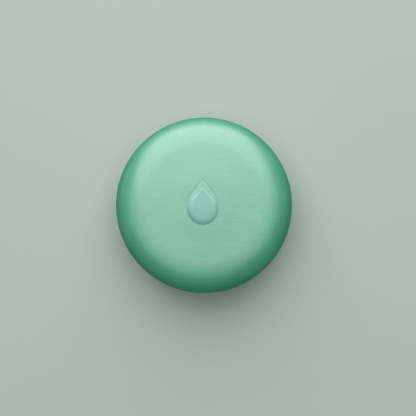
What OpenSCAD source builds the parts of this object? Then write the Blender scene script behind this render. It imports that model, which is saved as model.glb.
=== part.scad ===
// Shaving soap puck: a round pressed cake of soap with a drop of a second soap
// set into its upper face. Origin at the middle of the flat underside, +Z up,
// the drop's point towards +Y. Millimetres.

/* [Cake] */
// Diameter of the cake at its side
cake_d = 70; // [60:1:80]
// Height of the cake at the middle of its upper face
cake_h = 26; // [24:0.5:32]
// Radius of the upper edge
top_edge_r = 11; // [6:0.5:12]
// Radius of the lower edge
bottom_edge_r = 9; // [4:0.5:10]
// Radius of the flat in the middle of the upper face, under the drop
flat_r = 4; // [2:0.5:6]
// Radius at which the upper face's gentle slope becomes even
slope_r = 12; // [9:0.5:14]
// Slope of the upper face, in degrees
crown_angle = 4; // [2:0.5:6]
// Radius of the knee between the upper face and the upper edge
knee_r = 20; // [16:1:24]
// Slope at which the knee runs into the upper edge, in degrees
knee_angle = 20; // [12:1:24]

/* [Drop] */
// Width of the drop across its round end
drop_w = 12; // [8:0.5:15]
// Radius of the drop's bowed sides
side_r = 10.5; // [9:0.5:14]
// Half of the angle at the drop's tip, in degrees
tip_angle = 36; // [30:1:42]
// How far the middle of the drop stands above the upper face
drop_proud = 0.9; // [0.8:0.1:1.4]
// How far the drop's top falls from its middle to its ends
dome_rise = 0.6; // [0.3:0.1:0.7]
// Depth of the drop's pocket below the upper face
pocket_depth = 5; // [3:0.5:8]
// Joint line between the drop and its pocket
joint_gap = 0.1; // [0.05:0.01:0.2]

/* [Hidden] */

cake_r = cake_d / 2;
crown_r = (slope_r - flat_r) / sin(crown_angle);
edge_x = cake_r - top_edge_r;                   // centre of the upper edge's arc
knee_x = edge_x - (knee_r - top_edge_r) * sin(knee_angle); // centre of the knee's arc
knee_start_r = knee_x + knee_r * sin(crown_angle);
slope_z = cake_h - crown_r * (1 - cos(crown_angle)); // height where the even slope starts
knee_start_z = slope_z - (knee_start_r - slope_r) * tan(crown_angle);
knee_z = knee_start_z - knee_r * cos(crown_angle);
edge_z = knee_z + (knee_r - top_edge_r) * cos(knee_angle);

drop_r = drop_w / 2;
side_x = side_r - drop_r;                       // centre of a side's arc, past the drop's middle line
tip_y = (side_r - side_x * cos(tip_angle)) / sin(tip_angle); // tip from the round end's centre
drop_l = drop_r + tip_y;
round_end_y = drop_r - drop_l / 2;              // the drop's length is centred on the cake
pocket_z = cake_h - pocket_depth;
drop_top_z = cake_h + drop_proud;
dome_r = (drop_l * drop_l / 4 + dome_rise * dome_rise) / (2 * dome_rise);

spare = 1;                                      // how far a cut runs past what it cuts
smooth_fn = 180;
large_arc_fn = 720;
arc_step = 3;                                   // degrees between the points of the drop's outline

// What rounding a corner takes off: everything past an arc of radius r about
// the origin, between two angles from upright.
module corner_waste(r, start_angle, stop_angle) {
    far = 2 * (r + cake_h);
    difference() {
        polygon([
            [0, 0],
            for (a = [start_angle, (start_angle + stop_angle) / 2, stop_angle])
                far * [sin(a), cos(a)]
        ]);
        circle(r, $fn = large_arc_fn);
    }
}

// Half section of the cake. From the middle of the upper face outwards: a small
// flat, an arc to a gentle even slope, a knee, a round upper edge, a short
// upright side and a round lower edge on a flat underside. Each stretch runs
// into the next with no corner.
module cake_section() {
    difference() {
        square([cake_r, cake_h]);
        translate([flat_r, cake_h - crown_r]) corner_waste(crown_r, 0, crown_angle);
        translate([slope_r, slope_z]) rotate(-crown_angle) square(cake_r);
        translate([knee_x, knee_z]) corner_waste(knee_r, crown_angle, 90);
        translate([edge_x, edge_z]) corner_waste(top_edge_r, knee_angle, 90);
        translate([cake_r - bottom_edge_r, bottom_edge_r]) mirror([0, 1])
            corner_waste(bottom_edge_r, 0, 90);
    }
}

// Outline of a drop, moved in by inset: a round end, two bowed sides that leave
// it at a tangent, and straight ends to the sides that meet at the tip.
module drop_outline(inset) {
    end_r = drop_r - inset;
    bow_r = side_r - inset;
    half = [
        for (a = [-90 : arc_step : -arc_step]) end_r * [cos(a), sin(a)],
        for (a = [0 : arc_step : tip_angle]) bow_r * [cos(a), sin(a)] - [side_x, 0]
    ];
    tip = [0, tip_y - inset / sin(tip_angle)];
    others = [for (i = [len(half) - 1 : -1 : 1]) [-half[i].x, half[i].y]];
    translate([0, round_end_y]) polygon([each half, tip, each others]);
}

module soap_cake() {
    color([0.60, 0.80, 0.72])
    difference() {
        rotate_extrude($fn = smooth_fn) cake_section();
        translate([0, 0, pocket_z])
            linear_extrude(pocket_depth + spare) drop_outline(0);
    }
}

// The drop rests on the floor of its pocket, and its top is part of a sphere.
module drop_inlay() {
    color([0.55, 0.78, 0.73])
    intersection() {
        translate([0, 0, pocket_z])
            linear_extrude(drop_top_z - pocket_z) drop_outline(joint_gap);
        translate([0, 0, drop_top_z - dome_r]) sphere(dome_r, $fn = large_arc_fn);
    }
}

soap_cake();
drop_inlay();
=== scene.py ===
# Shaving soap puck: the looks of a round cake of pressed soap and of the drop
# set into its upper face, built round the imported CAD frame. Metres, +Z up.

import math

import bpy
import numpy as np
from mathutils import Matrix, Vector


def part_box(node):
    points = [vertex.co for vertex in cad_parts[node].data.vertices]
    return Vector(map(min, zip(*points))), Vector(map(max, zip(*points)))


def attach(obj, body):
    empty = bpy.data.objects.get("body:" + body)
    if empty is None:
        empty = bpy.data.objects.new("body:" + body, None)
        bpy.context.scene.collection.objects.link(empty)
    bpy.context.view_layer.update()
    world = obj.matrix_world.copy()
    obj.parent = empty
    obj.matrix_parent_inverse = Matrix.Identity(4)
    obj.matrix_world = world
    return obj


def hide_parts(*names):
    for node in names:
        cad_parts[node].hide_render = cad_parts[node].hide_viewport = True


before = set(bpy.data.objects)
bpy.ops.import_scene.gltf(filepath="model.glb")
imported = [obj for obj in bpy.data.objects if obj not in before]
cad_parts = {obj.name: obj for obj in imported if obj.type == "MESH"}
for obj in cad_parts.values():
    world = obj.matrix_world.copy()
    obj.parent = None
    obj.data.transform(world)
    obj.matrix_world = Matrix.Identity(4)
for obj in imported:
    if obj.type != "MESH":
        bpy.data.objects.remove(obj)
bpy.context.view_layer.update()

MM = 0.001

# ---------------------------------------------------------------- sizes
# From the frame: the cake's radius and height, and the drop's place and size.
CAKE_LOW, CAKE_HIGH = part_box("soap_cake")
DROP_LOW, DROP_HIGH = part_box("drop_inlay")
CAKE_R = (CAKE_HIGH.x - CAKE_LOW.x) / 2
CAKE_H = CAKE_HIGH.z
POCKET_Z = DROP_LOW.z

# The cake's section, as in the CAD part: flat, arc, even slope, knee, upper edge, side, lower edge.
FLAT_R = 4 * MM
SLOPE_R = 12 * MM
CROWN_ANGLE = math.radians(4)
KNEE_R = 20 * MM
KNEE_ANGLE = math.radians(20)
TOP_EDGE_R = 11 * MM
LOW_EDGE_R = 9 * MM
CROWN_R = (SLOPE_R - FLAT_R) / math.sin(CROWN_ANGLE)
TOP_EDGE_X = CAKE_R - TOP_EDGE_R
LOW_EDGE_X = CAKE_R - LOW_EDGE_R
KNEE_X = TOP_EDGE_X - (KNEE_R - TOP_EDGE_R) * math.sin(KNEE_ANGLE)
FACE_R = KNEE_X + KNEE_R * math.sin(CROWN_ANGLE)
SLOPE_Z = CAKE_H - CROWN_R * (1 - math.cos(CROWN_ANGLE))
KNEE_Z = SLOPE_Z - (FACE_R - SLOPE_R) * math.tan(CROWN_ANGLE) - KNEE_R * math.cos(CROWN_ANGLE)
TOP_EDGE_Z = KNEE_Z + (KNEE_R - TOP_EDGE_R) * math.cos(KNEE_ANGLE)

# The drop's outline, as in the CAD part: a round end, two bowed sides and a slightly blunt tip.
JOINT_GAP = 0.1 * MM
DROP_R = (DROP_HIGH.x - DROP_LOW.x) / 2 + JOINT_GAP
SIDE_R = 10.5 * MM
TIP_ANGLE = math.radians(36)
TIP_BLUNT_R = 0.5 * MM
ROUND_END = np.array([0, DROP_LOW.y - JOINT_GAP + DROP_R])
SIDE_CENTRE = SIDE_R - DROP_R
TIP_Y = (SIDE_R - SIDE_CENTRE * math.cos(TIP_ANGLE)) / math.sin(TIP_ANGLE)

# Relief that is finer than the CAD part's.
SLOPE_OUT = 0.9 * MM        # a broad slope starts this far outside the joint line
SLOPE_IN = 2.6 * MM         # and ends this far inside it
STEP_RISE = 0.18 * MM       # a steeper step rises on that slope
# The slope's rise, and the step's place inside the line and its width: at the round end, at the tip.
SLOPE_RISE = (0.40 * MM, 0.15 * MM)
STEP_IN = (0.4 * MM, 1.9 * MM)
STEP_WIDTH = (2.6 * MM, 1.2 * MM)
BLEED = 1.2 * MM            # the two colours run into each other this far either side of the line
RIDGE_BLEND = 1.6 * MM      # width over which the two slopes of the tip run together
SEAM_DEPTH = 0.085 * MM      # fine crease along the joint line
SEAM_WIDTH = 0.5 * MM
SLIT = 0.02 * MM            # open width of the joint
WALL_TOP = CAKE_H - 0.4 * MM    # top of the pocket's and the drop's upright walls
SWELL = 0.05 * MM           # slow unevenness of the whole surface, always inwards
SWELL_WAVE = 8 * MM         # unit of length for the swell's waves
FLASH_HEIGHT = 0.03 * MM    # trimmed flash line round the side, where press tools met
FLASH_WIDTH = 0.35 * MM
FLASH_Z = 11.6 * MM
FLASH_DRIFT = 0.06 * MM     # how far the line wanders up and down in three long waves
FLASH_SHAKE = 0.03 * MM     # and in eleven short ones
SIDE_DEPTH = 0.5 * MM       # the line shows only on points this near the widest radius
UNDERSIDE_FADE = 2 * MM     # unevenness fades out below this height, so the underside stays flat

STEPS = 540                 # points in each ring of the meshes


# ---------------------------------------------------------------- drop outline
def side_distance(x, y):
    """Distance from the right-hand side of the outline, with x and y from the round end's centre."""
    to_arc = np.hypot(x + SIDE_CENTRE, y) - SIDE_R
    to_line = x * math.cos(TIP_ANGLE) + (y - TIP_Y) * math.sin(TIP_ANGLE)
    return np.where(np.arctan2(y, x + SIDE_CENTRE) > TIP_ANGLE, to_line, to_arc)


def drop_distance(xy):
    """Distance of each point outside (+) or inside (-) the joint line, with no ridge between the sides."""
    x, y = xy[:, 0], xy[:, 1] - ROUND_END[1]
    right, left = side_distance(x, y), side_distance(-x, y)
    share = np.clip(0.5 + (right - left) / (2 * RIDGE_BLEND), 0, 1)
    sides = left + (right - left) * share + RIDGE_BLEND * share * (1 - share)
    return np.where(y < 0, np.hypot(x, y) - DROP_R, sides)


def arc(centre, radius, start, stop):
    """The length of an arc, and a function for its points at a share of the way along it."""
    def at(f):
        angle = start + (stop - start) * f
        return np.array(centre) + radius * np.c_[np.cos(angle), np.sin(angle)]
    return radius * abs(stop - start), at


def drop_outline(inset=0.0):
    """STEPS points round the outline, moved in by inset: tip first, anticlockwise, evenly spaced."""
    tip_centre = TIP_Y - (inset + TIP_BLUNT_R) / math.sin(TIP_ANGLE)
    out = np.array([math.cos(TIP_ANGLE), math.sin(TIP_ANGLE)])
    line_start = np.array([0, tip_centre]) + TIP_BLUNT_R * out
    line_stop = np.array([-SIDE_CENTRE, 0]) + (SIDE_R - inset) * out
    # each stretch of one half: its length, and its points at a share of the way along it
    stretches = [
        arc((0, tip_centre), TIP_BLUNT_R, math.pi / 2, TIP_ANGLE),
        (np.linalg.norm(line_stop - line_start),
         lambda f: line_start + (line_stop - line_start) * f[:, None]),
        arc((-SIDE_CENTRE, 0), SIDE_R - inset, TIP_ANGLE, 0),
        arc((0, 0), DROP_R - inset, 0, -math.pi / 2),
    ]
    half = sum(length for length, _ in stretches)
    s = np.arange(STEPS) / STEPS * 2 * half
    on_right = s > half
    s = np.where(on_right, 2 * half - s, s)
    points, start = np.zeros((STEPS, 2)), 0
    for length, at in stretches:
        points = np.where((s >= start)[:, None], at((s - start) / length), points)
        start += length
    points[:, 0] *= np.where(on_right, 1, -1)
    return points + ROUND_END


# ---------------------------------------------------------------- surface
def smooth(t):
    t = np.clip(t, 0, 1)
    return t * t * (3 - 2 * t)


def swell(points):
    """Slow unevenness over the surface, from 0 to 1: a few crossed waves."""
    x, y, z = (points / SWELL_WAVE).T
    waves = (
        np.sin(1.0 * x + 0.6 * y + 0.4 * z + 0.7)
        + np.sin(-0.7 * x + 1.1 * y - 0.5 * z + 2.1)
        + np.sin(0.3 * x - 0.5 * y + 1.3 * z + 4.0)
        + 0.6 * np.sin(1.9 * x + 0.2 * y + 0.9 * z + 1.2)
        + 0.6 * np.sin(-0.4 * x - 2.1 * y + 0.7 * z + 5.1)
    )
    return 0.5 + waves / 8.4


def worn(points, normals):
    """The points moved in along their normals by the swell, and all but the flash line by its height."""
    angle = np.arctan2(points[:, 1], points[:, 0])
    line_z = FLASH_Z + FLASH_DRIFT * np.sin(3 * angle + 1) + FLASH_SHAKE * np.sin(11 * angle)
    left_on = 0.65 + 0.35 * np.sin(5 * angle + 0.4) * np.sin(2 * angle)
    at_side = np.hypot(points[:, 0], points[:, 1]) > CAKE_R - SIDE_DEPTH
    flash = np.exp(-((points[:, 2] - line_z) / FLASH_WIDTH) ** 2) * left_on * at_side
    inwards = SWELL * swell(points) + FLASH_HEIGHT * (1 - flash)
    inwards *= smooth(points[:, 2] / UNDERSIDE_FADE)
    return points - normals * inwards[:, None]


def upper_face(xy):
    """Points of the upper face over xy, and their normals."""
    r = np.hypot(xy[:, 0], xy[:, 1])
    lean = np.arcsin(np.clip(r - FLAT_R, 0, SLOPE_R - FLAT_R) / CROWN_R)
    past = np.maximum(r - SLOPE_R, 0)
    z = CAKE_H - CROWN_R * (1 - np.cos(lean)) - past * math.tan(CROWN_ANGLE)
    out = xy / np.maximum(r, 1e-6)[:, None]
    return np.c_[xy, z], np.c_[out * np.sin(lean)[:, None], np.cos(lean)]


def relief(xy):
    """Height of the drop and of the slope round it above the upper face."""
    inside = -drop_distance(xy)
    near_tip = smooth(0.05 + 1.6 * (xy[:, 1] - ROUND_END[1]) / TIP_Y)

    def along(ends):
        return ends[0] + (ends[1] - ends[0]) * near_tip

    slope = smooth((inside + SLOPE_OUT) / (SLOPE_OUT + SLOPE_IN))
    step = smooth(0.5 + (inside - along(STEP_IN)) / along(STEP_WIDTH))
    seam = np.exp(-(inside / SEAM_WIDTH) ** 2)
    return along(SLOPE_RISE) * slope + STEP_RISE * step - SEAM_DEPTH * seam


def side_ring(heading, centre_r, centre_z, radius, angle):
    """A ring of the side: the point at angle from upright on an arc of the section."""
    r, z = centre_r + radius * math.sin(angle), centre_z + radius * math.cos(angle)
    count = len(heading)
    points = np.c_[heading * r, np.full(count, z)]
    normals = np.c_[heading * math.sin(angle), np.full(count, math.cos(angle))]
    return worn(points, normals)


def loft(name, rings, material):
    """A closed mesh through rings of STEPS points, with flat ends."""
    count, i = len(rings), np.arange(STEPS)
    j = (i + 1) % STEPS
    quads = [np.c_[k * STEPS + j, k * STEPS + i, (k + 1) * STEPS + i, (k + 1) * STEPS + j]
             for k in range(count - 1)]
    faces = np.vstack(quads).tolist()
    faces.append(i.tolist())
    faces.append(((count - 1) * STEPS + i)[::-1].tolist())
    mesh = bpy.data.meshes.new(name)
    mesh.from_pydata(np.vstack(rings).tolist(), [], faces)
    mesh.polygons.foreach_set("use_smooth", [True] * len(faces))
    share = smooth(0.5 - drop_distance(np.vstack(rings)[:, :2]) / (2 * BLEED))
    mesh.attributes.new("drop_share", "FLOAT", "POINT").data.foreach_set("value", share)
    mesh.materials.append(material)
    mesh.update()
    piece = bpy.data.objects.new(name, mesh)
    bpy.context.scene.collection.objects.link(piece)
    return piece


def build_cake(material):
    """The cake: up the pocket's wall, over the face and edge, down the side and in underneath."""
    outline = drop_outline()
    ray = outline - ROUND_END
    ray /= np.linalg.norm(ray, axis=1)[:, None]
    # where each ray from the drop's round end leaves the upper face
    along = ray @ ROUND_END
    reach = -along + np.sqrt(along**2 - ROUND_END @ ROUND_END + FACE_R**2)
    rim = ROUND_END + ray * reach[:, None]
    heading = rim / FACE_R

    rings = []
    for share in np.linspace(0, 1, 7)[:-1]:
        rings.append(np.c_[outline, POCKET_Z + (WALL_TOP - POCKET_Z) * np.full(STEPS, share)])
    for share in np.linspace(0, 1, 66) ** 2.2:
        xy = outline + (rim - outline) * share
        ring = worn(*upper_face(xy))
        ring[:, 2] += relief(xy)
        rings.append(ring)
    for angle in np.linspace(CROWN_ANGLE, KNEE_ANGLE, 16)[1:]:
        rings.append(side_ring(heading, KNEE_X, KNEE_Z, KNEE_R, angle))
    for angle in np.linspace(KNEE_ANGLE, math.pi / 2, 36)[1:]:
        rings.append(side_ring(heading, TOP_EDGE_X, TOP_EDGE_Z, TOP_EDGE_R, angle))
    for z in np.linspace(TOP_EDGE_Z, LOW_EDGE_R, 26)[1:-1]:
        rings.append(side_ring(heading, CAKE_R, z, 0, math.pi / 2))
    for angle in np.linspace(math.pi / 2, math.pi, 26):
        rings.append(side_ring(heading, LOW_EDGE_X, LOW_EDGE_R, LOW_EDGE_R, angle))
    for share in (0.96, 0.85, 0.6, 0.3, 0.05):
        rings.append(np.c_[heading * LOW_EDGE_X * share, np.zeros(STEPS)])
    return loft("cake_of_soap", rings, material)


def build_drop(material):
    """The drop: out from the middle of its base, up its wall and in over its pillowed top."""
    outline = drop_outline(SLIT)
    rings = [np.c_[ROUND_END + (outline - ROUND_END) * share, np.full(STEPS, POCKET_Z)]
             for share in (0.1, 0.5, 0.9)]
    for share in np.linspace(0, 1, 7)[:-1]:
        rings.append(np.c_[outline, POCKET_Z + (WALL_TOP - POCKET_Z) * np.full(STEPS, share)])
    for share in 1 - np.linspace(0, 1, 60)[:-1] ** 1.25:
        xy = ROUND_END + (outline - ROUND_END) * share
        ring = worn(*upper_face(xy))
        ring[:, 2] += relief(xy)
        rings.append(ring)
    return loft("drop_of_soap", rings[::-1], material)


# ---------------------------------------------------------------- materials
class Nodes:
    """A material's node tree, with short ways to add what the soaps share."""

    def __init__(self, name):
        self.material = bpy.data.materials.new(name)
        self.material.use_nodes = True
        self.tree = self.material.node_tree
        self.shader = self.tree.nodes["Principled BSDF"]
        self.place = self.tree.nodes.new("ShaderNodeTexCoord").outputs["Object"]

    def add(self, kind, inputs=None, **settings):
        made = self.tree.nodes.new("ShaderNode" + kind)
        for key, value in settings.items():
            setattr(made, key, value)
        for key, value in (inputs or {}).items():
            if isinstance(value, bpy.types.NodeSocket):
                self.tree.links.new(value, made.inputs[key])
            else:
                made.inputs[key].default_value = value
        return made

    def stretched(self, wave):
        """Place, measured in waves of these lengths along X, Y and Z."""
        scale = tuple(1 / w for w in wave)
        return self.add("Mapping", {"Vector": self.place, "Scale": scale}).outputs["Vector"]

    def noise(self, wave, detail=2.0, rough=0.5):
        """Noise from 0 to 1 whose features are about wave long along each axis."""
        made = self.add("TexNoise", {"Vector": self.stretched(wave), "Scale": 1.0,
                                     "Detail": detail, "Roughness": rough})
        return made.outputs["Fac"]

    def spread(self, value, low, high, start=0.3, stop=0.7):
        """value, with start to stop stretched to low to high."""
        made = self.add("MapRange", {"Value": value, "From Min": start, "From Max": stop,
                                     "To Min": low, "To Max": high})
        return made.outputs["Result"]

    def math(self, operation, a, b):
        made = self.add("Math", {0: a, 1: b}, operation=operation)
        return made.outputs["Value"]

    def mix(self, share, a, b, blend="MIX"):
        made = self.add("Mix", {"Factor": share, "A": a, "B": b},
                        data_type="RGBA", blend_type=blend)
        return made.outputs["Result"]


def rgba(r, g, b):
    return (r, g, b, 1.0)


FACE_COLOR = rgba(0.165, 0.60, 0.42)
# painted shade: the sides are painted darker and deeper green than the face, standing in for the shade
# that falls on them
SIDE_SHADE_COLOR = rgba(0.045, 0.43, 0.24)
DROP_COLOR = rgba(0.145, 0.565, 0.455)
CLOUD_SIZE = 7 * MM
GRAIN_SIZE = 0.7 * MM
PIT_SIZE = 0.6 * MM
HAIRLINE_LENGTH = 16 * MM
HAIRLINE_WIDTH = 0.75 * MM
CLOUD = 0.035                   # how far the clouds vary the colour
GRAIN = 0.018                   # how far the grain varies the colour
GRAIN_DEPTH = 0.022 * MM
HAIRLINE_DEPTH = 0.16 * MM      # for streaks of 1
PIT_SHADE = 0.06                # painted shade in the pits: how much darker a pit is than the face
PIT_DEPTH = 0.012 * MM


def soap_material(name, streaks):
    """Satin pressed soap: cloudy colour, drawn hairlines, fine grain and pits with painted shade in them,
    bluer in the drop, and painted shade that turns the sides darker and deeper green than the face.
    """
    n = Nodes(name)
    in_drop = n.add("Attribute", attribute_name="drop_share").outputs["Fac"]
    height = n.add("SeparateXYZ", {"Vector": n.place}).outputs["Z"]
    # painted shade: from the face's edge down the side, the colour turns to the darker side colour
    painted_side_shade = n.spread(height, 1, 0, TOP_EDGE_Z, 0.9 * CAKE_H)
    cloud = n.noise((CLOUD_SIZE,) * 3, 3, 0.55)
    fine = n.noise((GRAIN_SIZE,) * 3, 2, 0.6)
    pits = n.spread(n.noise((PIT_SIZE,) * 3, 0), 0, 1, 0.66, 0.76)
    hairline = n.noise((HAIRLINE_LENGTH, HAIRLINE_WIDTH, HAIRLINE_WIDTH), 2, 0.6)

    color = n.mix(painted_side_shade, FACE_COLOR, SIDE_SHADE_COLOR)
    color = n.mix(in_drop, color, DROP_COLOR)
    clouds = n.spread(cloud, 1 - CLOUD, 1 + CLOUD)
    tone = n.math("MULTIPLY", clouds, n.spread(hairline, 1 - streaks, 1 + streaks))
    tone = n.math("MULTIPLY", tone, n.spread(fine, 1 - GRAIN, 1 + GRAIN))
    # painted shade: the pits are painted darker
    tone = n.math("MULTIPLY", tone, n.spread(pits, 1, 1 - PIT_SHADE, 0, 1))
    color = n.add("VectorMath", {0: color, "Scale": tone}, operation="SCALE").outputs["Vector"]

    rough = n.math("ADD", n.spread(cloud, 0.36, 0.42), n.spread(hairline, -0.03, 0.03))
    hollow = n.math("ADD", n.math("MULTIPLY", hairline, streaks * HAIRLINE_DEPTH),
                    n.math("MULTIPLY", fine, GRAIN_DEPTH))
    hollow = n.math("SUBTRACT", hollow, n.math("MULTIPLY", pits, PIT_DEPTH))
    bump = n.add("Bump", {"Height": hollow, "Strength": 1.0, "Distance": 1.0})

    s = n.shader.inputs
    n.tree.links.new(color, s["Base Color"])
    n.tree.links.new(rough, s["Roughness"])
    n.tree.links.new(bump.outputs["Normal"], s["Normal"])
    s["IOR"].default_value = 2.0
    s["Specular IOR Level"].default_value = 1.0
    s["Subsurface Weight"].default_value = 0.25
    s["Subsurface Radius"].default_value = (0.8, 1.0, 0.9)
    s["Subsurface Scale"].default_value = 1.5 * MM
    return n.material


# ---------------------------------------------------------------- stage
BACKDROP = rgba(0.6, 0.6, 0.6)
FLOOR_SIZE = 3.0                # half of the floor's width
FADE_START, FADE_STOP = 0.2, 0.5    # the floor fades into the backdrop between these distances


def build_floor():
    corners = [(x, y, 0) for x, y in ((-1, -1), (1, -1), (1, 1), (-1, 1))]
    mesh = bpy.data.meshes.new("floor")
    mesh.from_pydata((np.array(corners) * FLOOR_SIZE).tolist(), [], [(0, 1, 2, 3)])
    floor = bpy.data.objects.new("floor", mesh)
    bpy.context.scene.collection.objects.link(floor)
    n = Nodes("pale_floor")
    n.shader.inputs["Base Color"].default_value = rgba(0.66, 0.67, 0.66)
    n.shader.inputs["Roughness"].default_value = 0.8
    away = n.add("VectorMath", {0: n.place}, operation="LENGTH").outputs["Value"]
    backdrop = n.add("Emission", {"Color": BACKDROP}).outputs["Emission"]
    fade = n.spread(away, 0, 1, FADE_START, FADE_STOP)
    mixed = n.add("MixShader", {0: fade, 1: n.shader.outputs["BSDF"], 2: backdrop})
    n.tree.links.new(mixed.outputs["Shader"], n.tree.nodes["Material Output"].inputs["Surface"])
    mesh.materials.append(n.material)
    floor.visible_glossy = False
    return floor


LIGHT_DISTANCE = 0.9


def soft_light(name, zenith, azimuth, size, radiance):
    """A soft box that faces the puck from zenith degrees off upright, azimuth degrees left of +Y."""
    z, a = math.radians(zenith), math.radians(azimuth)
    towards = Vector((-math.sin(a) * math.sin(z), math.cos(a) * math.sin(z), math.cos(z)))
    data = bpy.data.lights.new(name, "AREA")
    data.shape = "RECTANGLE"
    data.size, data.size_y = size
    data.energy = radiance * math.pi * size[0] * size[1]
    light = bpy.data.objects.new(name, data)
    bpy.context.scene.collection.objects.link(light)
    light.location = towards * LIGHT_DISTANCE
    light.rotation_euler = towards.to_track_quat("Z", "Y").to_euler()
    light.visible_camera = False
    return light


def build_world(light):
    """A pale backdrop that the camera sees, and a dim fill that lights the puck."""
    world = bpy.data.worlds.new("studio")
    bpy.context.scene.world = world
    world.use_nodes = True
    tree = world.node_tree
    ray = tree.nodes.new("ShaderNodeLightPath")
    level = tree.nodes.new("ShaderNodeMix")
    level.data_type = "RGBA"
    level.inputs["A"].default_value = rgba(*light)
    level.inputs["B"].default_value = BACKDROP
    tree.links.new(ray.outputs["Is Camera Ray"], level.inputs["Factor"])
    tree.links.new(level.outputs["Result"], tree.nodes["Background"].inputs["Color"])


def build_camera(azimuth, elevation, distance, lens):
    """A camera that looks down on the puck with +Y up the picture."""
    a, e = math.radians(azimuth), math.radians(elevation)
    back = Vector((math.sin(a) * math.cos(e), -math.cos(a) * math.cos(e), math.sin(e)))
    up = Vector((0, 1, 0))
    up = (up - back * up.dot(back)).normalized()
    right = up.cross(back)
    target = Vector((0, 0, CAKE_H / 2))
    data = bpy.data.cameras.new("camera")
    data.lens = lens
    data.clip_start, data.clip_end = 0.01, 20
    camera = bpy.data.objects.new("camera", data)
    bpy.context.scene.collection.objects.link(camera)
    turn = Matrix((right, up, back)).transposed().to_4x4()
    camera.matrix_world = Matrix.Translation(target + back * distance) @ turn
    bpy.context.scene.camera = camera
    return camera


# ---------------------------------------------------------------- the scene
camera = build_camera(azimuth=19, elevation=84.4, distance=0.3915, lens=85)
camera.data.shift_x, camera.data.shift_y = 0.010, -0.0075

mint = soap_material("mint_soap", streaks=0.04)
blue_mint = soap_material("blue_mint_soap", streaks=0.015)

cake = build_cake(mint)
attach(cake, "root")
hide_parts("soap_cake")

drop = build_drop(blue_mint)
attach(drop, "root")
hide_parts("drop_inlay")

build_floor()
build_world(light=(0.0, 0.08, 0.045))
soft_light("window", zenith=46, azimuth=5, size=(1.6, 0.95), radiance=1.5)
soft_light("low_window", zenith=80, azimuth=5, size=(1.6, 0.42), radiance=1.1)
soft_light("overhead", zenith=0, azimuth=0, size=(1.2, 0.8), radiance=0.6)
for side, azimuth in (("left", 90), ("right", -90), ("back", 180)):
    soft_light(side, zenith=34, azimuth=azimuth, size=(1.0, 0.8), radiance=0.2)
bpy.context.scene.view_settings.view_transform = "Standard"
